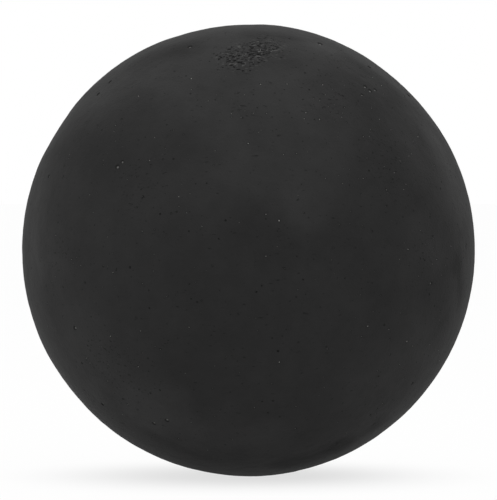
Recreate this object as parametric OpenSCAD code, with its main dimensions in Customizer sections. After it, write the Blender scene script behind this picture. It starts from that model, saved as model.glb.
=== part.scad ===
// Squash ball: two moulded rubber half shells joined edge to edge by a ring of rubber cement.
// Millimetres. The origin is the centre of the ball, +Z is up, and the mould axis runs along Y,
// so the front half shell faces -Y and the seam stands in the XZ plane.

/* [Ball] */
// Outer diameter of the finished ball
ball_d = 40; // [39:0.1:46]
// Wall thickness of each moulded half shell
wall_t = 5; // [3.5:0.1:6.5]

/* [Seam] */
// Thickness of the cement film between the two buffed edges
film_t = 0.2; // [0.1:0.05:0.6]
// Chamfer on the inner edge of each half shell, which the cement fills
edge_chamfer = 0.4; // [0.2:0.05:0.7]
// Height of the squeezed-out cement bead above the inner wall
bead_h = 0.5; // [0.3:0.05:1]
// Width of the squeezed-out cement bead across the seam
bead_w = 2; // [1.7:0.1:3]

/* [Colours] */
// Colour of the buffed rubber
rubber_colour = "#333333"; // [#333333:Charcoal, #262626:Black, #404040:Grey black]
// Colour of the cured cement
cement_colour = "#4a4540"; // [#4a4540:Brown grey, #333333:Charcoal]

/* [Hidden] */

$fn = 128;
outer_r = ball_d / 2;
inner_r = outer_r - wall_t;
half_film = film_t / 2;
// The bead's round section passes through its crest and through both of its feet on the inner wall.
bead_foot = bead_w / 2;
bead_r = (bead_h * bead_h + bead_foot * bead_foot) / (2 * bead_h);
bead_centre = inner_r - bead_h + bead_r;

// Outlines are drawn with X as the distance from the mould axis and Y as the height above the seam.

// Corner that the chamfer takes off a half shell's inner edge
module chamfer_outline() {
    polygon([
        [inner_r - edge_chamfer, 0],
        [inner_r + edge_chamfer, 0],
        [inner_r + edge_chamfer, half_film],
        [inner_r - edge_chamfer, half_film + 2 * edge_chamfer]
    ]);
}

// Section of one half shell: a quarter ring that stops half a film short of the seam
module half_shell_outline() {
    difference() {
        intersection() {
            circle(r = outer_r);
            translate([0, half_film]) square(outer_r);
        }
        circle(r = inner_r);
        chamfer_outline();
    }
}

// Section of the cement: the film between the edges, and the bead that it squeezed into the cavity
module cement_outline() {
    difference() {
        intersection() {
            circle(r = outer_r);
            union() {
                translate([inner_r, -half_film]) square([wall_t, film_t]);
                translate([bead_centre, 0]) circle(r = bead_r);
            }
        }
        half_shell_outline();
        mirror([0, 1]) half_shell_outline();
    }
}

// One moulded half shell, with its pole up and its edge at the seam
module half_shell() {
    color(rubber_colour) rotate_extrude() half_shell_outline();
}

module front_half_shell() {
    rotate([90, 0, 0]) half_shell();
}

module rear_half_shell() {
    rotate([-90, 0, 0]) half_shell();
}

module seam_cement() {
    color(cement_colour) rotate([90, 0, 0]) rotate_extrude() cement_outline();
}

front_half_shell();
rear_half_shell();
seam_cement();
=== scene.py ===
"""A squash ball: two moulded rubber half shells, the ring of cement between them, and a plain studio.

Lengths are metres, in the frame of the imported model: the ball's centre is the origin, +Z is up, and the
mould axis runs along Y, so the front half shell faces -Y and the seam stands in the XZ plane.
"""

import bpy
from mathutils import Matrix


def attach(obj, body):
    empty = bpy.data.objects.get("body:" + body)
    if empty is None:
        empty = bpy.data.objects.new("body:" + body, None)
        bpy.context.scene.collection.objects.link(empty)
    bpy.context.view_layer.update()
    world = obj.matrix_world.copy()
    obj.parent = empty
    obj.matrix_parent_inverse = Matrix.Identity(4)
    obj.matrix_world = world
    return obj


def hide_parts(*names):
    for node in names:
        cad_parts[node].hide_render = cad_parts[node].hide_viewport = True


bl_info = {
    "name": "Squash Ball",
    "version": (1, 0, 0),
    "blender": (4, 5, 0),
    "location": "3D View > Sidebar > Squash Ball",
    "description": "Models a hollow rubber squash ball over its packed frame, with its studio",
    "category": "Object",
}

import math

import bpy
from bpy.props import FloatProperty, FloatVectorProperty, PointerProperty
from bpy.types import Operator, Panel, PropertyGroup
from mathutils import Vector, noise
from mathutils.geometry import intersect_point_line

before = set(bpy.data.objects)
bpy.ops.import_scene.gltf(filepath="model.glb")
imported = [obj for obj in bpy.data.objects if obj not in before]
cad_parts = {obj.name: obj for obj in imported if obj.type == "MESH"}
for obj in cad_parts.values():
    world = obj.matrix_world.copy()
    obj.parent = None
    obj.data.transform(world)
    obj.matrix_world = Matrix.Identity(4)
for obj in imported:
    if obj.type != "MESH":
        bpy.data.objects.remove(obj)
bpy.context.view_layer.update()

MM = 0.001
FRONT = -1
REAR = 1


# Sizes that the frame already holds

def cad_points(node):
    """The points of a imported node, whose mesh lies in the row frame."""
    return [vertex.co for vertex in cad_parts[node].data.vertices]


def from_axis(point):
    """Distance of a point from the mould axis."""
    return math.hypot(point.x, point.z)


SHELL_POINTS = cad_points("front_half_shell")
CEMENT_POINTS = cad_points("seam_cement")
TOUCH = 0.005 * MM

OUTER_R = max(point.length for point in SHELL_POINTS)
INNER_R = min(point.length for point in SHELL_POINTS)
HALF_FILM = -max(point.y for point in SHELL_POINTS)
RIM_INNER_R = min(from_axis(point) for point in SHELL_POINTS if point.y > -HALF_FILM - TOUCH)
CHAMFER_TOP = -max(point.y for point in SHELL_POINTS if point.length < INNER_R + TOUCH)
BEAD_CREST_R = min(from_axis(point) for point in CEMENT_POINTS)
BEAD_FOOT = max(point.y for point in CEMENT_POINTS)

# The photograph's frame and the ball's outline in it, in pixels
PHOTO_W = 497
PHOTO_H = 500
BALL_RADIUS_PX = 226.1
# Ends of the middle line of the crackled patch, in pixels across and down
CRACKLE_FROM_PX = (240, 56)
CRACKLE_TO_PX = (264, 46)
# Middles of the finely crazed stretches, and how far each reaches in millimetres
CRAZED_PX = {
    "right_of_patch": (325, 95, 6),
    "left": (140, 185, 5),
    "left_edge": (60, 250, 4),
    "lower_left": (112, 362, 5.5),
    "below_patch": (250, 100, 3.5),
    "upper_right": (385, 160, 6),
    "right_edge": (425, 255, 4.5),
    "top_right_edge": (335, 56, 3.5),
}

# Pits that show in the photograph: pixels across and down, and the pit's radius in millimetres
PITS_PX = {
    "upper_left": (116, 166, 0.26),
    "upper_left_twin": (121, 161, 0.16),
    "left_edge": (48, 176, 0.22),
    "top_left_edge": (109, 81, 0.24),
    "top_left_edge_twin": (97, 93, 0.24),
    "top_left": (189, 45, 0.26),
    "top_right": (320, 43, 0.36),
    "right_ring": (369, 66, 0.24),
    "right_cluster_high": (365, 86, 0.27),
    "right_cluster_low": (370, 90, 0.28),
    "right_cluster_end": (375, 89, 0.24),
    "right_cluster_side": (362, 94, 0.18),
    "right_rim": (409, 94, 0.24),
    "right_middle": (431, 283, 0.20),
    "lower_left_high": (74, 328, 0.26),
    "lower_left": (102, 404, 0.22),
    "low_middle": (153, 424, 0.20),
    "low_middle_twin": (166, 421, 0.24),
    "lower_right": (412, 383, 0.18),
}

# Soft patches of painted light and shade, paler or darker as the photograph shows, the lobe ones a painted
# highlight:
# pixels across and down of the two ends of each one's middle line, how far it reaches in millimetres, and how
# much paler it is, with darker below 0
PAINTED_LIGHT_PX = {
    "top_left": (105, 97, 142, 70, 3.2, 0.35),
    "lobe_side": (170, 88, 250, 176, 2.2, 0.25),
    "lobe_tip": (292, 200, 305, 218, 1.8, 0.2),
    "left_of_lobe": (155, 196, 195, 192, 3.0, 0.2),
    "lower_left": (88, 338, 160, 405, 3.6, 0.35),
    "bottom": (150, 418, 265, 438, 3.0, 0.35),
    "lower_right": (360, 385, 415, 340, 2.6, 0.15),
    "left": (52, 255, 66, 310, 2.4, 0.2),
    "left_edge": (40, 190, 36, 262, 1.6, 0.25),
    "right_edge": (434, 140, 456, 200, 1.8, 0.35),
    "centre": (262, 228, 285, 245, 2.8, -0.22),
    "upper_right": (352, 85, 395, 195, 3.4, -0.25),
    "right": (350, 225, 378, 290, 2.8, -0.15),
    "right_top": (395, 108, 415, 130, 1.8, -0.15),
    "left_side": (67, 136, 115, 162, 2.6, -0.2),
    "top_left_edge": (147, 58, 180, 48, 2.2, -0.5),
    "top_edge": (255, 34, 290, 36, 1.4, -0.35),
    "bottom_edge": (285, 464, 335, 448, 1.8, -0.5),
    "lower_right_edge": (345, 444, 378, 424, 1.4, -0.35),
    "right_side": (425, 200, 455, 250, 2.0, -0.2),
    "right_side_low": (430, 288, 442, 322, 2.2, -0.2),
    "right_edge_low": (458, 268, 460, 296, 1.2, -0.35),
    "patch": (245, 66, 282, 56, 1.8, -0.2),
    "top_right_edge": (318, 45, 330, 50, 1.2, 0.3),
    "upper_right_edge": (352, 60, 402, 100, 1.2, -0.25),
}


class BallShape(PropertyGroup):
    """Sizes of the rubber's surface and of the seam."""

    out_of_round: FloatProperty(
        name="Out of round", description="How far the broad hollows of the surface go in",
        default=0.1 * MM, min=0, unit="LENGTH", precision=6)
    hollow_width: FloatProperty(
        name="Hollow width", description="Width of the broad hollows",
        default=9 * MM, min=MM, unit="LENGTH", precision=5)
    peel_depth: FloatProperty(
        name="Peel depth", description="Depth of the fine dimples that buffing leaves",
        default=0.04 * MM, min=0, unit="LENGTH", precision=6)
    peel_width: FloatProperty(
        name="Peel width", description="Width of the fine dimples",
        default=0.8 * MM, min=0.1 * MM, unit="LENGTH", precision=5)
    pore_depth: FloatProperty(
        name="Pore depth", description="Depth of the scattered pores",
        default=0.07 * MM, min=0, unit="LENGTH", precision=6)
    pore_spacing: FloatProperty(
        name="Pore spacing", description="Spacing of the scattered pores",
        default=2.2 * MM, min=0.2 * MM, unit="LENGTH", precision=5)
    pit_depth: FloatProperty(
        name="Pit depth", description="Depth of the few larger pits",
        default=0.09 * MM, min=0, unit="LENGTH", precision=6)
    crackle_radius: FloatProperty(
        name="Crackle radius", description="How far the crackled patch reaches from its middle line",
        default=3.1 * MM, min=0, unit="LENGTH", precision=5)
    crackle_depth: FloatProperty(
        name="Crackle depth", description="Depth of the creases in that patch",
        default=0.07 * MM, min=0, unit="LENGTH", precision=6)
    crackle_width: FloatProperty(
        name="Crackle width", description="Height of the flecks between the creases",
        default=0.13 * MM, min=0.05 * MM, unit="LENGTH", precision=5)
    seam_round: FloatProperty(
        name="Seam edge", description="Rounding of each half shell's outer edge at the seam",
        default=0.07 * MM, min=0, unit="LENGTH", precision=6)
    cement_recess: FloatProperty(
        name="Cement recess", description="How far the cement film lies below the rubber",
        default=0.04 * MM, min=0, unit="LENGTH", precision=6)
    bead_wave: FloatProperty(
        name="Bead wave", description="Unevenness of the squeezed-out bead inside the ball",
        default=0.22 * MM, min=0, unit="LENGTH", precision=6)


class BallColours(PropertyGroup):
    """Colours of the finishes."""

    rubber: FloatVectorProperty(
        name="Rubber", description="Colour of the buffed outside", subtype="COLOR", size=3,
        default=(0.0135, 0.0135, 0.0135), min=0, max=1)
    # On the outside this is also the pale end of the painted light.
    bloom: FloatVectorProperty(
        name="Bloom", description="Colour where the rubber has bloomed or holds fine dust", subtype="COLOR",
        size=3, default=(0.0275, 0.0275, 0.0275), min=0, max=1)
    # Also the colour of the painted glints on the outside.
    dust: FloatVectorProperty(
        name="Dust", description="Colour of the dust specks", subtype="COLOR", size=3,
        default=(0.2, 0.2, 0.195), min=0, max=1)
    inside: FloatVectorProperty(
        name="Inside", description="Colour of the moulded inner wall", subtype="COLOR", size=3,
        default=(0.016, 0.016, 0.016), min=0, max=1)
    cement: FloatVectorProperty(
        name="Cement", description="Colour of the cured rubber cement", subtype="COLOR", size=3,
        default=(0.026, 0.024, 0.022), min=0, max=1)
    floor: FloatVectorProperty(
        name="Floor", description="Colour of the studio floor", subtype="COLOR", size=3,
        default=(0.75, 0.75, 0.75), min=0, max=1)


class StudioSettings(PropertyGroup):
    """Camera and light."""

    camera_distance: FloatProperty(
        name="Camera distance", description="From the camera to the ball's centre",
        default=400 * MM, min=50 * MM, unit="LENGTH")
    camera_rise: FloatProperty(
        name="Camera rise", description="Height of the camera above the horizon through the ball",
        default=math.radians(1.5), subtype="ANGLE")
    softbox_height: FloatProperty(
        name="Softbox height", description="Height of the softbox above the ball",
        default=350 * MM, min=100 * MM, unit="LENGTH")
    softbox_strength: FloatProperty(
        name="Softbox strength", description="Brightness of the softbox's face, where 1 is white",
        default=1.2, min=0)
    side_distance: FloatProperty(
        name="Side distance", description="From the ball to the softbox on its left",
        default=350 * MM, min=100 * MM, unit="LENGTH")
    side_strength: FloatProperty(
        name="Side strength", description="Brightness of the left softbox's face, where 1 is white",
        default=0.8, min=0)
    room_light: FloatProperty(
        name="Room light", description="Brightness that the room lends to the surface, where 1 is white",
        default=0.65, min=0, max=1)


class SquashBallSettings(PropertyGroup):
    """Everything that the panel offers."""

    shape: PointerProperty(type=BallShape)
    colours: PointerProperty(type=BallColours)
    studio: PointerProperty(type=StudioSettings)


# Selecting, shaping and finishing a mesh

def start_clean():
    """Leaves edit mode and deselects everything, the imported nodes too."""
    if bpy.context.mode != "OBJECT":
        bpy.ops.object.mode_set(mode="OBJECT")
    bpy.ops.object.select_all(action="DESELECT")


def pick_faces(piece, test):
    """Goes into edit mode and selects the faces of the active piece whose middle passes the test."""
    bpy.ops.object.mode_set(mode="EDIT")
    bpy.ops.mesh.select_mode(type="FACE")
    bpy.ops.mesh.select_all(action="DESELECT")
    bpy.ops.object.mode_set(mode="OBJECT")
    for face in piece.data.polygons:
        face.select = test(face.center)
    bpy.ops.object.mode_set(mode="EDIT")


def pick_open_edges():
    """Goes into edit mode and selects the open edges of the active piece."""
    bpy.ops.object.mode_set(mode="EDIT")
    bpy.ops.mesh.select_all(action="DESELECT")
    bpy.ops.mesh.select_mode(type="EDGE")
    bpy.ops.mesh.select_non_manifold()


def apply_modifier(piece, kind, **settings):
    """Adds a modifier with these settings to the active piece and applies it."""
    modifier = piece.modifiers.new(kind.title(), kind)
    for name, value in settings.items():
        setattr(modifier, name, value)
    bpy.ops.object.modifier_apply(modifier=modifier.name)


def weigh(piece, name, weight_at):
    """Makes a vertex group whose weights are given by each point's place."""
    group = piece.vertex_groups.new(name=name)
    for vertex in piece.data.vertices:
        weight = weight_at(vertex.co)
        if weight > 0:
            group.add([vertex.index], weight, "REPLACE")


def fade(distance, full, end):
    """1 up to full, 0 from end on, and smooth between them."""
    share = min(1.0, max(0.0, (end - distance) / (end - full)))
    return share * share * (3 - 2 * share)


# Places in the photograph

def camera_place(studio):
    """Where the main camera stands: in front of the ball and a little above its middle."""
    rise = studio.camera_rise
    return studio.camera_distance * Vector((0, -math.cos(rise), math.sin(rise)))


def focal_pixels(settings):
    """Focal length in pixels at which the ball, with its hollows, has the photograph's radius."""
    seen_r = OUTER_R - settings.shape.out_of_round / 2
    return BALL_RADIUS_PX / math.tan(math.asin(seen_r / settings.studio.camera_distance))


def place_on_ball(settings, across, down):
    """The point of the ball that the main camera sees at a pixel of the photograph."""
    eye = camera_place(settings.studio)
    forward = -eye.normalized()
    right = Vector((1, 0, 0))
    up = right.cross(forward)
    half_pixel = 0.5
    ray = (focal_pixels(settings) * forward
           + (across + half_pixel - PHOTO_W / 2) * right
           + (PHOTO_H / 2 - down - half_pixel) * up).normalized()
    along = -eye.dot(ray)
    return eye + ray * (along - math.sqrt(along ** 2 - eye.length_squared + OUTER_R ** 2))


def turned_round(place):
    """The place on the opposite side of the ball, at the same height."""
    return Vector((-place.x, -place.y, place.z))


def place_on_half(settings, side, across, down):
    """The point at a pixel of the photograph or, for the rear half shell, the one opposite to it."""
    place = place_on_ball(settings, across, down)
    return place if side == FRONT else turned_round(place)


# The half shells

OUTER_CUTS = (1, 1, 2, 2, 1, 1)
INNER_CUTS = (1, 1, 2, 2)
PATCH_CUTS = 4
SEAM_ROUND_STEPS = 3
RIM_RINGS = 3
SHARP_ANGLE = math.radians(50)

# Values of the flats' noise at which they are deepest and at which they end
FLATS_RAMP = (0.25, 0.6)
# Share of its cell that a pore takes
PORE_SHARE = 0.12

# The soft patches of painted light and shade: how ragged they are, how far they spread past their reach, and
# how they go on behind
PAINTED_LIGHT_RAGGED = 0.5
PAINTED_LIGHT_RAGGED_WIDTH = 2.5 * MM
PAINTED_LIGHT_SPREAD = 1.6
BACK_PAINTED_LIGHT = 0.6
BACK_PAINTED_LIGHT_FADE = 4 * MM

# The crackled patch: how ragged its edge is, how far it is drawn in, and the shares of its radius at which it
# is full and at which it ends
PATCH_RAGGED = 0.6 * MM
PATCH_RAGGED_WIDTH = 1.2 * MM
PATCH_DRAWN_IN = 0.2 * MM
PATCH_FULL = 0.2
PATCH_END = 1.1
# Where the patch is fainter than this, the rubber has no creases
PATCH_LEAST = 0.25
# Its flecks: how long they are for their height, and how fine and strong the noise is that is added to theirs
FLECK_LENGTH = 2.5
FLECK_FINER = 2.1
FLECK_FINER_SHARE = 0.7
FLECK_ASIDE = Vector((3, 3, 3))
# Noise below which creases are full and above which there are none, and how much rarer they are at the edge
CREASE_RANGE = (-0.52, -0.3)
CREASE_RARER = 0.45
# The same for the painted highlights on the tops between them, with the noise turned over, and how strong
# they are
TOP_GLINT_RANGE = (-0.65, -0.42)
TOP_GLINT_STRENGTH = 0.35

# A pit's flat floor and the painted glint in it, as shares of its radius, and the margin of finer faces round
# it
PIT_FLOOR = 0.2
PIT_GLINT = 0.45
PIT_MARGIN = 0.1 * MM


def round_off(dome, radius):
    """Brings every point of a dome to its radius."""
    apply_modifier(dome, "CAST", cast_type="SPHERE", factor=1, size=radius, use_radius_as_size=False)


def add_dome(name, radius, side, cuts_in_turn):
    """Adds half a ball of even four-sided faces: a cube that is divided and rounded in turn."""
    start_clean()
    bpy.ops.mesh.primitive_cube_add(size=2 * radius)
    dome = bpy.context.object
    dome.name = name
    dome.data.name = name
    for turn, cuts in enumerate(cuts_in_turn):
        bpy.ops.object.mode_set(mode="EDIT")
        bpy.ops.mesh.select_all(action="SELECT")
        bpy.ops.mesh.subdivide(number_cuts=cuts)
        if turn == 0:
            pick_faces(dome, lambda middle: middle.y * side < 0)
            bpy.ops.mesh.delete(type="FACE")
        bpy.ops.object.mode_set(mode="OBJECT")
        round_off(dome, radius)
    return dome


def cut_dome(side, height):
    """Cuts the active dome off square at this height above the seam."""
    bpy.ops.object.mode_set(mode="EDIT")
    bpy.ops.mesh.select_all(action="SELECT")
    bpy.ops.mesh.bisect(plane_co=(0, side * height, 0), plane_no=(0, side, 0), clear_inner=True)
    bpy.ops.object.mode_set(mode="OBJECT")


def set_ramp(texture, dark, light):
    """Makes a texture black up to one value, white from another on, and smooth between them."""
    texture.use_color_ramp = True
    ramp = texture.color_ramp
    ramp.interpolation = "EASE"
    ramp.elements[0].position = dark
    ramp.elements[0].color = (0, 0, 0, 1)
    ramp.elements[1].position = light
    ramp.elements[1].color = (1, 1, 1, 1)


def clouds(name, width, depth=1):
    """A soft noise for displacement, in blobs of this width."""
    texture = bpy.data.textures.new(name, "CLOUDS")
    texture.noise_scale = width
    texture.noise_depth = depth
    return texture


def cells(name, width, share):
    """Cells of this width, each with a dark dot that takes this share of it."""
    texture = bpy.data.textures.new(name, "VORONOI")
    texture.noise_scale = width
    set_ramp(texture, 0, share)
    return texture


def sink(piece, texture, depth):
    """Sinks the surface where the texture is dark, by up to depth."""
    if depth == 0:
        return
    apply_modifier(piece, "DISPLACE", texture=texture, texture_coords="LOCAL", direction="NORMAL",
                   mid_level=1, strength=depth)


def press_in(piece, depth, group):
    """Presses the points of a vertex group in, by up to depth."""
    if depth == 0:
        return
    apply_modifier(piece, "DISPLACE", direction="NORMAL", mid_level=0, strength=-depth, vertex_group=group)


def flats(shape):
    """The shallow flats of a ball that is a little out of round, which run on over the seam."""
    texture = clouds("flats", shape.hollow_width)
    set_ramp(texture, *FLATS_RAMP)
    return texture


def texture_surface(dome, shape):
    """The shallow flats, dimples and pores that a buffed half shell has all over."""
    sink(dome, flats(shape), shape.out_of_round)
    sink(dome, clouds("peel", shape.peel_width, depth=2), shape.peel_depth)
    sink(dome, cells("pores", shape.pore_spacing, PORE_SHARE), shape.pore_depth)


def from_line(place, start, end):
    """Distance of a place from the line between two points."""
    share = intersect_point_line(place, start, end)[1]
    return (place - start.lerp(end, min(1.0, max(0.0, share)))).length


def add_attribute(piece, name, value_at):
    """Gives every point of the active piece a number for its material to read."""
    bpy.ops.geometry.attribute_add(name=name, domain="POINT", data_type="FLOAT")
    values = [value_at(vertex.co) for vertex in piece.data.vertices]
    piece.data.attributes[name].data.foreach_set("value", values)


def fleck_noise(place, height):
    """Noise about 0 in level flecks of this height."""
    spot = Vector((place.x / FLECK_LENGTH, place.y, place.z)) / height
    return noise.noise(spot) + FLECK_FINER_SHARE * noise.noise(FLECK_FINER * spot + FLECK_ASIDE)


def paint_light_and_shade(dome, settings):
    """Notes where painted light, above 0, or painted shade, below 0, lies on the front, as the photograph
    shows.

    The back has the same soft patches, turned round and fainter, and they fade in from the seam.
    """
    painted_patches = []
    for across, down, end_across, end_down, reach, strength in PAINTED_LIGHT_PX.values():
        start = place_on_ball(settings, across, down)
        end = place_on_ball(settings, end_across, end_down)
        painted_patches.append((start, end, reach * MM, strength))

    def front_light_and_shade(place):
        ragged = 1 + PAINTED_LIGHT_RAGGED * noise.noise(place / PAINTED_LIGHT_RAGGED_WIDTH)
        return sum(strength * fade(ragged * from_line(place, start, end), 0, PAINTED_LIGHT_SPREAD * reach)
                   for start, end, reach, strength in painted_patches)

    def painted_light_and_shade_at(place):
        behind = BACK_PAINTED_LIGHT * fade(-place.y, -BACK_PAINTED_LIGHT_FADE, 0)
        if behind == 0:
            return front_light_and_shade(place)
        return front_light_and_shade(place) + behind * front_light_and_shade(turned_round(place))

    add_attribute(dome, "painted_light_and_shade", painted_light_and_shade_at)


def craze_places(dome, side, settings):
    """Notes where the rubber has the most fine cracks and specks."""
    crazed = []
    for across, down, reach in CRAZED_PX.values():
        crazed.append((place_on_half(settings, side, across, down), reach * MM))

    def craze(place):
        return max(fade((place - middle).length, 0, reach) for middle, reach in crazed)

    add_attribute(dome, "crazed", craze)


def crackle_and_pit(dome, side, settings):
    """The few larger pits, and the crackled patch that only the front half shell has."""
    shape = settings.shape
    start = place_on_ball(settings, *CRACKLE_FROM_PX)
    end = place_on_ball(settings, *CRACKLE_TO_PX)
    pits = []
    for across, down, radius in PITS_PX.values():
        pits.append((place_on_half(settings, side, across, down), radius * MM))

    def patch_share(place):
        if side == REAR:
            return 0.0
        ragged = PATCH_RAGGED * noise.noise(place / PATCH_RAGGED_WIDTH)
        away = from_line(place, start, end) + ragged + PATCH_DRAWN_IN
        return fade(away, PATCH_FULL * shape.crackle_radius, PATCH_END * shape.crackle_radius)

    def crease_depth(place):
        share = patch_share(place)
        if share < PATCH_LEAST:
            return 0.0
        rarer = CREASE_RARER * (1 - share)
        full, none = CREASE_RANGE
        return fade(fleck_noise(place, shape.crackle_width), full - rarer, none - rarer)

    def pit_share(place, full, end):
        return max(fade((place - centre).length, full * radius, end * radius) for centre, radius in pits)

    # Painted highlights: a pale spot in each larger pit, and pale tops between the creases of the patch.
    def glint(place):
        share = patch_share(place)
        spot = pit_share(place, 0.0, PIT_GLINT)
        if share < PATCH_LEAST:
            return spot
        return max(spot, TOP_GLINT_STRENGTH * share * fade(-fleck_noise(place, shape.crackle_width), *TOP_GLINT_RANGE))

    def needs_finer_faces(place):
        return patch_share(place) > PATCH_LEAST or any(
            (place - centre).length < radius + PIT_MARGIN for centre, radius in pits)

    pick_faces(dome, needs_finer_faces)
    bpy.ops.mesh.subdivide(number_cuts=PATCH_CUTS)
    bpy.ops.object.mode_set(mode="OBJECT")
    round_off(dome, OUTER_R)
    weigh(dome, "creases", crease_depth)
    weigh(dome, "pits", lambda place: pit_share(place, PIT_FLOOR, 1.0))
    add_attribute(dome, "crackled", patch_share)
    add_attribute(dome, "glint", glint)
    press_in(dome, shape.crackle_depth, "creases")
    press_in(dome, shape.pit_depth, "pits")


def extrude_ring(now, target, side):
    """Extrudes the selected ring, and moves it from one radius and height above the seam to others."""
    bpy.ops.mesh.extrude_edges_move()
    share = target[0] / now[0]
    bpy.ops.transform.resize(value=(share, 1, share), center_override=(0, 0, 0))
    bpy.ops.transform.translate(value=(0, side * (target[1] - now[1]), 0))
    return target


def shell_rim(shape):
    """Radius and height of the rings from the outer edge, round the seam's corner and over the flat rim."""
    corner = shape.seam_round
    rings = []
    for step in range(SEAM_ROUND_STEPS + 1):
        turn = math.pi / 2 * step / SEAM_ROUND_STEPS
        rings.append((OUTER_R - corner * (1 - math.cos(turn)), HALF_FILM + corner * (1 - math.sin(turn))))
    width = OUTER_R - corner - RIM_INNER_R
    for step in range(1, RIM_RINGS + 1):
        rings.append((OUTER_R - corner - width * step / RIM_RINGS, HALF_FILM))
    return rings


def set_finishes(shell, materials):
    """The buffed outside, the moulded inner wall, and the buffed rim and chamfer between them."""
    for material in materials:
        shell.data.materials.append(material)
    outside, inside, edge = range(3)
    middle_r = (OUTER_R + INNER_R) / 2
    for face in shell.data.polygons:
        height = abs(face.center.y)
        if face.center.length > middle_r and height > HALF_FILM + TOUCH:
            face.material_index = outside
        elif face.center.length < INNER_R + TOUCH and height > CHAMFER_TOP - TOUCH:
            face.material_index = inside
        else:
            face.material_index = edge


def finish_piece(piece):
    """Smooth shading, with the true corners left sharp, once the piece is known to be closed."""
    start_clean()
    piece.select_set(True)
    bpy.context.view_layer.objects.active = piece
    pick_open_edges()
    bpy.ops.object.mode_set(mode="OBJECT")
    if any(edge.select for edge in piece.data.edges):
        raise RuntimeError(f"{piece.name} has open edges")
    bpy.ops.object.shade_smooth_by_angle(angle=SHARP_ANGLE)


def build_half_shell(name, side, settings, materials):
    """One half shell: a textured outer dome, its edge at the seam, the flat rim and the inner wall."""
    shape = settings.shape
    inner = add_dome("inner_wall", INNER_R, side, INNER_CUTS)
    cut_dome(side, CHAMFER_TOP)
    shell = add_dome(name, OUTER_R, side, OUTER_CUTS)
    crackle_and_pit(shell, side, settings)
    craze_places(shell, side, settings)
    paint_light_and_shade(shell, settings)
    add_attribute(shell, "sunk", lambda place: OUTER_R - place.length)
    texture_surface(shell, shape)
    pick_open_edges()
    rings = shell_rim(shape)
    bpy.ops.transform.translate(value=(0, side * rings[0][1], 0))
    now = rings[0]
    for ring in rings[1:]:
        now = extrude_ring(now, ring, side)
    bpy.ops.object.mode_set(mode="OBJECT")
    inner.select_set(True)
    bpy.ops.object.join()
    pick_open_edges()
    bpy.ops.mesh.bridge_edge_loops()
    bpy.ops.mesh.select_all(action="SELECT")
    bpy.ops.mesh.normals_make_consistent(inside=False)
    bpy.ops.object.mode_set(mode="OBJECT")
    shell.vertex_groups.clear()
    set_finishes(shell, materials)
    finish_piece(shell)
    return shell


# The ring of cement

RING_POINTS = 576
BEAD_STEPS = 12
BEAD_NOISE_WIDTH = 3 * MM
GAP_NOISE_WIDTH = MM
# How far in from the outside the film still sinks in full, and where it no longer sinks
FILM_EDGE = (0.25 * MM, 0.5 * MM)


def cement_outline(shape):
    """Radius and height of the cement's section, from the outer edge in over the bead and out again."""
    edge_r = OUTER_R - shape.cement_recess
    lip = HALF_FILM / 3
    foot_r = math.sqrt(INNER_R ** 2 - BEAD_FOOT ** 2)
    rise = foot_r - BEAD_CREST_R
    bead_r = (rise ** 2 + BEAD_FOOT ** 2) / (2 * rise)
    half_turn = math.asin(BEAD_FOOT / bead_r)
    upper = [
        (edge_r, HALF_FILM - lip),
        (edge_r - lip, HALF_FILM),
        (RIM_INNER_R, HALF_FILM),
        (math.sqrt(INNER_R ** 2 - CHAMFER_TOP ** 2), CHAMFER_TOP),
    ]
    bead = []
    for step in range(BEAD_STEPS + 1):
        turn = half_turn * (1 - 2 * step / BEAD_STEPS)
        bead.append((BEAD_CREST_R + bead_r * (1 - math.cos(turn)), bead_r * math.sin(turn)))
    lower = [(radius, -height) for radius, height in reversed(upper)]
    return upper + bead + lower


def sink_towards_axis(ring, texture, depth, weight_at):
    """Sinks a ring where the texture is dark, straight towards the mould axis and never sideways."""
    for axis, index in (("X", 0), ("Z", 2)):
        for way in (1, -1):
            group = f"{axis}{way}"

            def weight(place):
                return weight_at(place) * max(0.0, way * place[index] / from_axis(place))

            weigh(ring, group, weight)
            apply_modifier(ring, "DISPLACE", texture=texture, texture_coords="LOCAL", direction=axis,
                           mid_level=1, strength=way * depth, vertex_group=group)


def build_cement(name, settings, material):
    """The cement: a thin film across both rims, and the bead that it squeezed into the cavity."""
    shape = settings.shape
    outline = cement_outline(shape)
    start_clean()
    bpy.ops.mesh.primitive_circle_add(
        vertices=RING_POINTS, radius=outline[0][0], rotation=(math.pi / 2, 0, 0),
        location=(0, outline[0][1], 0))
    ring = bpy.context.object
    ring.name = name
    ring.data.name = name
    bpy.ops.object.transform_apply(location=True, rotation=True, scale=True)
    bpy.ops.object.mode_set(mode="EDIT")
    bpy.ops.mesh.select_mode(type="EDGE")
    bpy.ops.mesh.select_all(action="SELECT")
    now = outline[0]
    for point in outline[1:] + outline[:1]:
        now = extrude_ring(now, point, 1)
    bpy.ops.mesh.select_all(action="SELECT")
    bpy.ops.mesh.remove_doubles(threshold=TOUCH / 5)
    bpy.ops.mesh.normals_make_consistent(inside=False)
    bpy.ops.object.mode_set(mode="OBJECT")
    weigh(ring, "bead", lambda place: fade(from_axis(place), BEAD_CREST_R, INNER_R))
    apply_modifier(ring, "DISPLACE", texture=clouds("squeeze", BEAD_NOISE_WIDTH, depth=2),
                   texture_coords="LOCAL", direction="NORMAL", mid_level=0, strength=shape.bead_wave,
                   vertex_group="bead")

    def film_edge(place):
        return fade(OUTER_R - from_axis(place), *FILM_EDGE)

    if shape.out_of_round > 0:
        sink_towards_axis(ring, flats(shape), shape.out_of_round, film_edge)
    if shape.cement_recess > 0:
        gaps = clouds("edge_gaps", GAP_NOISE_WIDTH, depth=2)
        sink_towards_axis(ring, gaps, shape.cement_recess, film_edge)
    ring.vertex_groups.clear()
    ring.data.materials.append(material)
    finish_piece(ring)
    return ring


# Shader nodes

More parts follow.
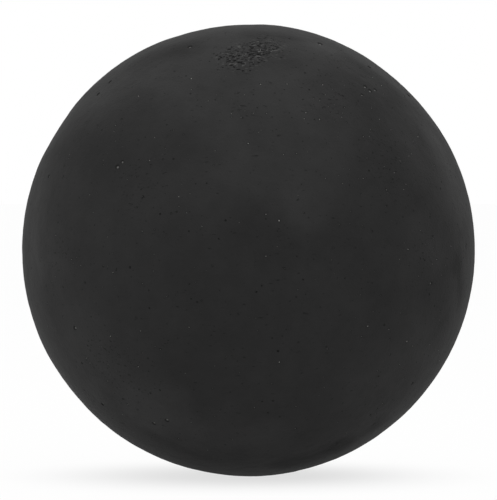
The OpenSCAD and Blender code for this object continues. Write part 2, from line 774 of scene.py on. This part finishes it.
def node(tree, kind, inputs=None, **settings):
    """Adds a node, sets it, and links or fills its inputs."""
    made = tree.nodes.new("ShaderNode" + kind)
    for name, value in settings.items():
        setattr(made, name, value)
    for key, value in (inputs or {}).items():
        if isinstance(value, bpy.types.NodeSocket):
            tree.links.new(value, made.inputs[key])
        else:
            made.inputs[key].default_value = value
    return made


def maths(tree, operation, first, second=0.0, clamp=False):
    """The result of one Math node."""
    return node(tree, "Math", {0: first, 1: second}, operation=operation, use_clamp=clamp).outputs[0]


def gather(tree, operation, first, *parts):
    """Starts from one value and takes in others by this operation, each times its share."""
    result = first
    for value, share in parts:
        result = maths(tree, operation, result, maths(tree, "MULTIPLY", value, share))
    return result


def one_over(tree, value):
    """The noise scale that gives this width."""
    return maths(tree, "DIVIDE", 1.0, value)


def ramp_up(tree, value, start, end, low=0.0, high=1.0):
    """Goes smoothly from low to high as the value goes from start to end."""
    inputs = {"Value": value, "From Min": start, "From Max": end, "To Min": low, "To Max": high}
    return node(tree, "MapRange", inputs, interpolation_type="SMOOTHSTEP").outputs["Result"]


def blend(tree, share, first, second):
    """Mixes two colours."""
    return node(tree, "Mix", {0: share, 6: first, 7: second}, data_type="RGBA").outputs[2]


def rgba(colour):
    """A colour as a socket takes it."""
    return (*colour, 1)


def new_group(name, numbers, results):
    """Starts a node group with an input for the place on the object, and named numbers in and out."""
    tree = bpy.data.node_groups.new(name, "ShaderNodeTree")
    tree.interface.new_socket(name="Place", in_out="INPUT", socket_type="NodeSocketVector")
    for socket_name, default in numbers.items():
        socket = tree.interface.new_socket(name=socket_name, in_out="INPUT", socket_type="NodeSocketFloat")
        socket.default_value = default
    for socket_name in results:
        tree.interface.new_socket(name=socket_name, in_out="OUTPUT", socket_type="NodeSocketFloat")
    return tree, tree.nodes.new("NodeGroupInput").outputs, tree.nodes.new("NodeGroupOutput").inputs


def cloudiness_group():
    """Soft cloudy patches, from 0 to 1, as on rubber that has bloomed or been handled."""
    tree, given, result = new_group("Cloudiness", {"Width": 5 * MM}, ["Amount"])
    clouded = node(tree, "TexNoise", {"Vector": given["Place"], "Scale": one_over(tree, given["Width"]),
                                      "Detail": 3.0, "Roughness": 0.55})
    tree.links.new(ramp_up(tree, clouded.outputs[0], 0.32, 0.68), result["Amount"])
    return tree


def grain_group():
    """The fine grain of rubber: rounded lumps with tiny creases, from a noise folded at its middle."""
    numbers = {"Width": 0.3 * MM, "Depth": 0.01 * MM}
    tree, given, result = new_group("Rubber grain", numbers, ["Height"])
    lumps = node(tree, "TexNoise", {"Vector": given["Place"], "Scale": one_over(tree, given["Width"]),
                                    "Detail": 2.0, "Roughness": 0.6})
    fold = 0.5
    ridges = maths(tree, "ABSOLUTE", maths(tree, "SUBTRACT", lumps.outputs[0], fold))
    tree.links.new(maths(tree, "MULTIPLY", ridges, given["Depth"]), result["Height"])
    return tree


def pores_group():
    """Scattered pits, each with more or less dust in the middle, and the dustier the stronger its pit, which
    the materials use as painted shade round the dust.

    Share is the part of the places that have a pit, and Dusty is the mean share of dust in a pit.
    """
    numbers = {"Spacing": MM, "Radius": 0.13 * MM, "Share": 0.5, "Dusty": 0.1}
    tree, given, result = new_group("Pores", numbers, ["Pit", "Dust"])
    wobble = node(tree, "TexNoise", {"Vector": given["Place"], "Scale": one_over(tree, given["Radius"]),
                                     "Detail": 1.0}).outputs["Color"]
    wobble = node(tree, "VectorMath", {0: wobble, "Scale": given["Radius"]}, operation="SCALE").outputs[0]
    spot = node(tree, "VectorMath", {0: given["Place"], 1: wobble}, operation="ADD").outputs[0]
    cell = node(tree, "TexVoronoi", {"Vector": spot, "Scale": one_over(tree, given["Spacing"]),
                                     "Randomness": 1.0})
    away = maths(tree, "MULTIPLY", cell.outputs["Distance"], given["Spacing"])
    chance = node(tree, "SeparateColor", {"Color": cell.outputs["Color"]}).outputs
    size = ramp_up(tree, chance["Green"], 0, 1, low=0.55, high=1.35)
    share = maths(tree, "DIVIDE", away, maths(tree, "MULTIPLY", given["Radius"], size))
    kept = maths(tree, "LESS_THAN", chance["Red"], given["Share"])
    strong = maths(tree, "MULTIPLY", kept, maths(tree, "SUBTRACT", 1.0, chance["Blue"]))
    pit = maths(tree, "MULTIPLY", ramp_up(tree, share, 1.0, 0.7), strong)
    rarity = maths(tree, "LOGARITHM", chance["Blue"], math.e)
    amount = maths(tree, "MULTIPLY", rarity, maths(tree, "MULTIPLY", given["Dusty"], -1.0), clamp=True)
    speck = maths(tree, "MULTIPLY", ramp_up(tree, share, 0.54, 0.32), kept)
    tree.links.new(pit, result["Pit"])
    tree.links.new(maths(tree, "MULTIPLY", speck, amount), result["Dust"])
    return tree


def crackle_group():
    """Short cracks of this width, rare where the reach is low and dense where it is high."""
    tree, given, result = new_group("Crackle", {"Width": 0.2 * MM, "Reach": 0.5}, ["Lines"])
    flecks = node(tree, "TexNoise", {"Vector": given["Place"], "Scale": one_over(tree, given["Width"]),
                                     "Detail": 1.0})
    softness = 0.06
    start = gather(tree, "ADD", 0.25, (given["Reach"], 0.3))
    end = maths(tree, "SUBTRACT", start, softness)
    tree.links.new(ramp_up(tree, flecks.outputs[0], start, end), result["Lines"])
    return tree


def buffing_group():
    """Fine scratches that run round the mould axis, as a turning buff leaves them."""
    numbers = {"Width": 0.15 * MM, "Depth": 0.01 * MM}
    tree, given, result = new_group("Buffing marks", numbers, ["Height", "Amount"])
    stretch = 0.05
    drawn_out = node(tree, "Mapping", {"Vector": given["Place"], "Scale": (stretch, 1, stretch)})
    scratches = node(tree, "TexNoise", {"Vector": drawn_out.outputs[0],
                                        "Scale": one_over(tree, given["Width"]), "Detail": 2.0})
    amount = ramp_up(tree, scratches.outputs[0], 0.35, 0.65)
    tree.links.new(amount, result["Amount"])
    tree.links.new(maths(tree, "MULTIPLY", amount, given["Depth"]), result["Height"])
    return tree


GROUP_MAKERS = {
    "Cloudiness": cloudiness_group,
    "Rubber grain": grain_group,
    "Pores": pores_group,
    "Crackle": crackle_group,
    "Buffing marks": buffing_group,
}


def shared_group(name):
    """The node group of this name, which is built when it is first asked for."""
    return bpy.data.node_groups.get(name) or GROUP_MAKERS[name]()


def use(tree, group, output, **inputs):
    """Places a group, on the object's own coordinates if no other place is given, and gives one output."""
    named = {name.title(): value for name, value in inputs.items()}
    named.setdefault("Place", tree.nodes["Place"].outputs["Object"])
    return node(tree, "Group", named, node_tree=shared_group(group)).outputs[output]


def empty_tree(owner):
    """Gives a material or world a node tree with nothing in it."""
    owner.use_nodes = True
    owner.node_tree.nodes.clear()
    return owner.node_tree


def new_material(name, specular):
    """A material with a principled shader and the object's own coordinates."""
    material = bpy.data.materials.new(name)
    tree = empty_tree(material)
    shader = node(tree, "BsdfPrincipled", {"Specular IOR Level": specular})
    tree.links.new(shader.outputs[0], node(tree, "OutputMaterial").inputs["Surface"])
    place = node(tree, "TexCoord")
    place.name = "Place"
    return material, tree, shader


def feed(tree, shader, colour, rough, height):
    """Feeds a colour, a roughness and a height in metres to the shader."""
    tree.links.new(colour, shader.inputs["Base Color"])
    tree.links.new(rough, shader.inputs["Roughness"])
    bump = node(tree, "Bump", {"Height": height, "Strength": 1.0, "Distance": 1.0})
    tree.links.new(bump.outputs[0], shader.inputs["Normal"])


# Finishes

# Near black for painted shade: in the rubber's creases, pits and cracks, and in the cement's bubbles and
# crazing.
RECESS_SHADE_BLACK = (0.003, 0.003, 0.003, 1)
BUBBLE_SHADE_BLACK = (0.008, 0.007, 0.006, 1)


def noted(tree, name):
    """A number that each point of the piece carries."""
    return node(tree, "Attribute", attribute_name=name).outputs["Fac"]


def rubber_specks(tree, crazed):
    """Pits and dust in two sizes of speck, which are denser where the rubber is crazed."""
    dense_from = 0.6
    pores = {"spacing": 0.5 * MM, "radius": 0.1 * MM, "dusty": 0.4}
    pores["share"] = ramp_up(tree, crazed, 0, dense_from, low=0.45)
    specks = {"spacing": 0.4 * MM, "radius": 0.065 * MM, "dusty": 0.32}
    specks["share"] = ramp_up(tree, crazed, 0, dense_from, low=0.25)
    return [maths(tree, "MAXIMUM", use(tree, "Pores", output, **pores), use(tree, "Pores", output, **specks))
            for output in ("Pit", "Dust")]


def rubber_cracks(tree, place, crazed):
    """Level cracks, dense in the crackled patch and fewer in the crazed stretches."""
    drawn_out = 0.3
    level = node(tree, "Mapping", {"Vector": place, "Scale": (drawn_out, 1, 1)}).outputs[0]
    reach = ramp_up(tree, crazed, 0.3, 0.9, low=0.1, high=0.3)
    reach = gather(tree, "MAXIMUM", reach, (noted(tree, "crackled"), 0.48))
    return use(tree, "Crackle", "Lines", place=level, width=0.17 * MM, reach=reach)


def buffed_rubber(settings):
    """The outside: matte black rubber with faint bloom, fine grain, dusty pores, and a scuffed seam, with
    painted light and shade, painted shade in its hollows and painted glints.
    """
    colours = settings.colours
    material, tree, shader = new_material("buffed_rubber", specular=0.04)
    shader.inputs["Coat Roughness"].default_value = 0.42
    place = tree.nodes["Place"].outputs["Object"]
    crazed = noted(tree, "crazed")
    painted_light_and_shade = noted(tree, "painted_light_and_shade")
    broad = use(tree, "Cloudiness", "Amount", width=9 * MM)
    fine = use(tree, "Cloudiness", "Amount", width=1.3 * MM)
    pits, dust = rubber_specks(tree, crazed)
    # The glint attribute is painted highlight in the dust colour: pale spots in the larger pits and pale tops
    # in the crackled patch.
    dust = maths(tree, "MAXIMUM", dust, noted(tree, "glint"))
    cracks = rubber_cracks(tree, place, crazed)
    # Painted shade: the colour goes towards black where the rubber is sunk, in the pits and along the cracks.
    recess_shade = ramp_up(tree, noted(tree, "sunk"), 0.02 * MM, 0.07 * MM)
    dark = gather(tree, "MAXIMUM", 0.0, (recess_shade, 0.7), (pits, 0.9), (cracks, 0.45))
    from_seam = maths(tree, "ABSOLUTE", node(tree, "SeparateXYZ", {0: place}).outputs["Y"])
    band = ramp_up(tree, from_seam, 1.6 * MM, 0.2 * MM)
    scuffed = maths(tree, "MULTIPLY", band, use(tree, "Buffing marks", "Amount", width=0.25 * MM))
    # The bloom share also carries the painted light and shade: paler where light is painted, darker where
    # shade is.
    bloom = gather(tree, "ADD", 0.35, (broad, 0.15), (fine, 0.1), (painted_light_and_shade, 1.0), (scuffed, 0.5))
    colour = blend(tree, bloom, rgba(colours.rubber), rgba(colours.bloom))
    colour = blend(tree, dark, colour, RECESS_SHADE_BLACK)
    # The dust share here holds both the dust specks and the painted glints.
    colour = blend(tree, dust, colour, rgba(colours.dust))
    rough = gather(tree, "ADD", 0.78, (broad, 0.05), (fine, 0.05), (dark, 0.15))
    grain = use(tree, "Rubber grain", "Height", width=0.4 * MM, depth=0.1 * MM)
    marks = use(tree, "Buffing marks", "Height", width=0.14 * MM, depth=0.012 * MM)
    holes = maths(tree, "MAXIMUM", pits, cracks)
    feed(tree, shader, colour, rough, gather(tree, "ADD", grain, (marks, band), (holes, -0.04 * MM)))
    polish = ramp_up(tree, maths(tree, "ADD", broad, fine), 0.3, 1.7, low=0.094, high=0.116)
    # The coat is stronger where the painted light is paler, which paints a highlight as well.
    polish = maths(tree, "MULTIPLY", polish, gather(tree, "ADD", 1.0, (painted_light_and_shade, 0.8)))
    # The coat is left off in the painted shade and on the specks.
    clear_of_shade_and_specks = maths(tree, "SUBTRACT", 1.0, maths(tree, "MAXIMUM", dark, dust))
    tree.links.new(maths(tree, "MULTIPLY", polish, clear_of_shade_and_specks), shader.inputs["Coat Weight"])
    return material


def moulded_rubber(settings):
    """The inner wall: rubber as it left the mould, smoother, with traces of release powder."""
    colours = settings.colours
    material, tree, shader = new_material("moulded_rubber", specular=0.4)
    broad = use(tree, "Cloudiness", "Amount", width=4 * MM)
    powder = use(tree, "Pores", "Dust", spacing=0.6 * MM, radius=0.2 * MM, share=0.5, dusty=0.4)
    colour = blend(tree, maths(tree, "MULTIPLY", broad, 0.4), rgba(colours.inside), rgba(colours.bloom))
    colour = blend(tree, powder, colour, rgba(colours.dust))
    height = use(tree, "Rubber grain", "Height", width=0.6 * MM, depth=0.02 * MM)
    feed(tree, shader, colour, ramp_up(tree, broad, 0, 1, low=0.38, high=0.55), height)
    return material


def buffed_edge(settings):
    """The flat rims and chamfers: coarsely buffed so that the cement holds."""
    colours = settings.colours
    material, tree, shader = new_material("buffed_edge", specular=0.2)
    fine = use(tree, "Cloudiness", "Amount", width=0.8 * MM)
    marks = use(tree, "Buffing marks", "Amount", width=0.3 * MM)
    smeared = maths(tree, "MULTIPLY", fine, marks)
    colour = blend(tree, smeared, rgba(colours.rubber), rgba(colours.cement))
    grain = use(tree, "Rubber grain", "Height", width=0.3 * MM, depth=0.05 * MM)
    scratches = use(tree, "Buffing marks", "Height", width=0.2 * MM, depth=0.03 * MM)
    height = maths(tree, "ADD", grain, scratches)
    feed(tree, shader, colour, ramp_up(tree, marks, 0, 1, low=0.75, high=0.9), height)
    return material


def rubber_cement(settings):
    """Cured cement: brown grey, a little smoother than the rubber, with dust stuck to it and painted shade in
    its bubbles and crazing.
    """
    colours = settings.colours
    material, tree, shader = new_material("rubber_cement", specular=0.1)
    broad = use(tree, "Cloudiness", "Amount", width=2.5 * MM)
    bubbles = {"spacing": 0.6 * MM, "radius": 0.1 * MM, "share": 0.6, "dusty": 0.12}
    holes = use(tree, "Pores", "Pit", **bubbles)
    dust = use(tree, "Pores", "Dust", **bubbles)
    crazed = use(tree, "Crackle", "Lines", width=0.25 * MM, reach=0.2)
    holes = maths(tree, "MAXIMUM", holes, crazed)
    colour = blend(tree, broad, rgba(colours.cement), rgba(colours.bloom))
    # Painted shade: the cement goes towards black in its bubbles and crazing.
    colour = blend(tree, maths(tree, "MULTIPLY", holes, 0.6), colour, BUBBLE_SHADE_BLACK)
    colour = blend(tree, dust, colour, rgba(colours.dust))
    height = use(tree, "Rubber grain", "Height", width=0.35 * MM, depth=0.02 * MM)
    height = gather(tree, "ADD", height, (holes, -0.05 * MM))
    feed(tree, shader, colour, ramp_up(tree, broad, 0, 1, low=0.5, high=0.7), height)
    return material


# The studio

FLOOR_HALF = 1500 * MM
FIBRE_WIDTH = 2 * MM
SENSOR = 36
# The camera sees from its distance divided by this, to its distance times this
CLIP_RATIO = 100
# Places and sizes of the softboxes, in the height of the one and the distance of the other
OVERHEAD_PLACE = (0.55, -1.0, 1.0)
OVERHEAD_SIZE = (1.1, 3.6)
OVERHEAD_TURN = math.radians(18)
LEFT_PLACE = (-1.0, -0.2, 0.15)
LEFT_SIZE = (1.4, 0.42)


def seen_directly(tree):
    """1 for rays from the camera or from a mirror or glass, and 0 for light that lands on a surface."""
    path = node(tree, "LightPath")
    seen = maths(tree, "ADD", path.outputs["Is Camera Ray"], path.outputs["Is Glossy Ray"])
    return maths(tree, "ADD", seen, path.outputs["Is Transmission Ray"], clamp=True)


def floor_paper(colours):
    """White studio paper that shows white and keeps the ball's soft shadow."""
    material = bpy.data.materials.new("floor_paper")
    tree = empty_tree(material)
    place = node(tree, "TexCoord").outputs["Object"]
    fibres = node(tree, "TexNoise", {"Vector": place, "Scale": 1 / FIBRE_WIDTH, "Detail": 4.0}).outputs[0]
    colour = blend(tree, maths(tree, "MULTIPLY", fibres, 0.1), rgba(colours.floor), (1, 1, 1, 1))
    paper = node(tree, "BsdfDiffuse", {"Color": colour}).outputs[0]
    white = node(tree, "Emission", {"Strength": 1.0}).outputs[0]
    flat = node(tree, "VectorMath", {0: place, 1: (1, 1, 0)}, operation="MULTIPLY").outputs[0]
    away = node(tree, "VectorMath", {0: flat}, operation="LENGTH").outputs["Value"]
    # Less of the white shows near the ball's foot, so the paper's lit colour and the ball's real shadow show
    # there: a faint painted shade round the foot besides the real shadow.
    whiter = ramp_up(tree, away, 0.2 * OUTER_R, 1.2 * OUTER_R, low=0.72, high=0.97)
    share = maths(tree, "MULTIPLY", seen_directly(tree), whiter)
    mixed = node(tree, "MixShader", {0: share, 1: paper, 2: white})
    tree.links.new(mixed.outputs[0], node(tree, "OutputMaterial").inputs["Surface"])
    return material


def build_world(studio):
    """A white room to the eye, which lends the ball only a plain, even light."""
    world = bpy.data.worlds.new("studio")
    bpy.context.scene.world = world
    tree = empty_tree(world)
    strength = ramp_up(tree, seen_directly(tree), 0, 1, low=studio.room_light)
    background = node(tree, "Background", {"Color": (1, 1, 1, 1), "Strength": strength})
    tree.links.new(background.outputs[0], node(tree, "OutputWorld").inputs["Surface"])


def add_softbox(name, unit, place, size, turn, strength):
    """A rectangular area lamp, level if it hangs overhead and upright beside the ball.

    Its place and size are given in this unit, and strength is the brightness of its face, where 1 is white.
    """
    start_clean()
    place = unit * Vector(place)
    bpy.ops.object.light_add(type="AREA", location=place)
    lamp = bpy.context.object
    lamp.name = name
    upright = abs(place.x) > place.z
    facing = -place if upright else Vector((0, 0, -1))
    lamp.rotation_euler = facing.to_track_quat("-Z", "Y").to_euler()
    lamp.rotation_euler.z += turn
    lamp.data.shape = "RECTANGLE"
    lamp.data.size = unit * size[0]
    lamp.data.size_y = unit * size[1]
    lamp.data.energy = strength * math.pi * lamp.data.size * lamp.data.size_y
    lamp.visible_camera = False


def build_camera(settings):
    """A long lens at the photograph's viewing angle, framing the ball as the photograph does."""
    start_clean()
    studio = settings.studio
    place = camera_place(studio)
    bpy.ops.object.camera_add(location=place, rotation=(-place).to_track_quat("-Z", "Y").to_euler())
    camera = bpy.context.object
    camera.data.sensor_width = SENSOR
    camera.data.lens = focal_pixels(settings) * SENSOR / max(PHOTO_W, PHOTO_H)
    camera.data.clip_start = studio.camera_distance / CLIP_RATIO
    camera.data.clip_end = studio.camera_distance * CLIP_RATIO
    bpy.context.scene.camera = camera


def build_floor(colours):
    """A pale floor under the ball's lowest point."""
    start_clean()
    bpy.ops.mesh.primitive_plane_add(size=2 * FLOOR_HALF, location=(0, 0, -OUTER_R))
    floor = bpy.context.object
    floor.name = "studio_floor"
    bpy.ops.object.transform_apply(location=True, rotation=False, scale=False)
    floor.data.materials.append(floor_paper(colours))


# Operators, the panel and the run

class SQUASHBALL_OT_half_shells(Operator):
    """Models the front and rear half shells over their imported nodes"""

    bl_idname = "squash_ball.half_shells"
    bl_label = "Half Shells"

    def execute(self, context):
        settings = context.scene.squash_ball
        materials = [buffed_rubber(settings), moulded_rubber(settings), buffed_edge(settings)]
        for side, name, packed in ((FRONT, "front_shell_rubber", "front_half_shell"),
                                   (REAR, "rear_shell_rubber", "rear_half_shell")):
            shell = build_half_shell(name, side, settings, materials)
            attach(shell, "root")
            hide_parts(packed)
        return {"FINISHED"}


class SQUASHBALL_OT_seam_cement(Operator):
    """Models the ring of cement between the half shells"""

    bl_idname = "squash_ball.seam_cement"
    bl_label = "Seam Cement"

    def execute(self, context):
        settings = context.scene.squash_ball
        ring = build_cement("cement_ring", settings, rubber_cement(settings))
        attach(ring, "root")
        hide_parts("seam_cement")
        return {"FINISHED"}


class SQUASHBALL_OT_studio(Operator):
    """Adds the floor, the white room, the lamps and the camera"""

    bl_idname = "squash_ball.studio"
    bl_label = "Studio"

    def execute(self, context):
        settings = context.scene.squash_ball
        studio = settings.studio
        build_floor(settings.colours)
        build_world(studio)
        add_softbox("overhead_softbox", studio.softbox_height, OVERHEAD_PLACE, OVERHEAD_SIZE, OVERHEAD_TURN,
                    studio.softbox_strength)
        add_softbox("left_softbox", studio.side_distance, LEFT_PLACE, LEFT_SIZE, 0, studio.side_strength)
        build_camera(settings)
        context.scene.view_settings.view_transform = "Standard"
        return {"FINISHED"}


class SQUASHBALL_PT_panel(Panel):
    """Sizes, colours and steps of the squash ball"""

    bl_idname = "SQUASHBALL_PT_panel"
    bl_label = "Squash Ball"
    bl_space_type = "VIEW_3D"
    bl_region_type = "UI"
    bl_category = "Squash Ball"

    def draw(self, context):
        settings = context.scene.squash_ball
        for group in (settings.shape, settings.colours, settings.studio):
            box = self.layout.box()
            for name in group.__annotations__:
                box.prop(group, name)
        for operator in STEPS:
            self.layout.operator(operator.bl_idname)


STEPS = (SQUASHBALL_OT_half_shells, SQUASHBALL_OT_seam_cement, SQUASHBALL_OT_studio)
CLASSES = (BallShape, BallColours, StudioSettings, SquashBallSettings, *STEPS, SQUASHBALL_PT_panel)


def register():
    for made in CLASSES:
        bpy.utils.register_class(made)
    bpy.types.Scene.squash_ball = PointerProperty(type=SquashBallSettings)


def unregister():
    del bpy.types.Scene.squash_ball
    for made in reversed(CLASSES):
        bpy.utils.unregister_class(made)


def main():
    register()
    bpy.ops.squash_ball.half_shells()
    bpy.ops.squash_ball.seam_cement()
    bpy.ops.squash_ball.studio()


if __name__ == "__main__":
    main()
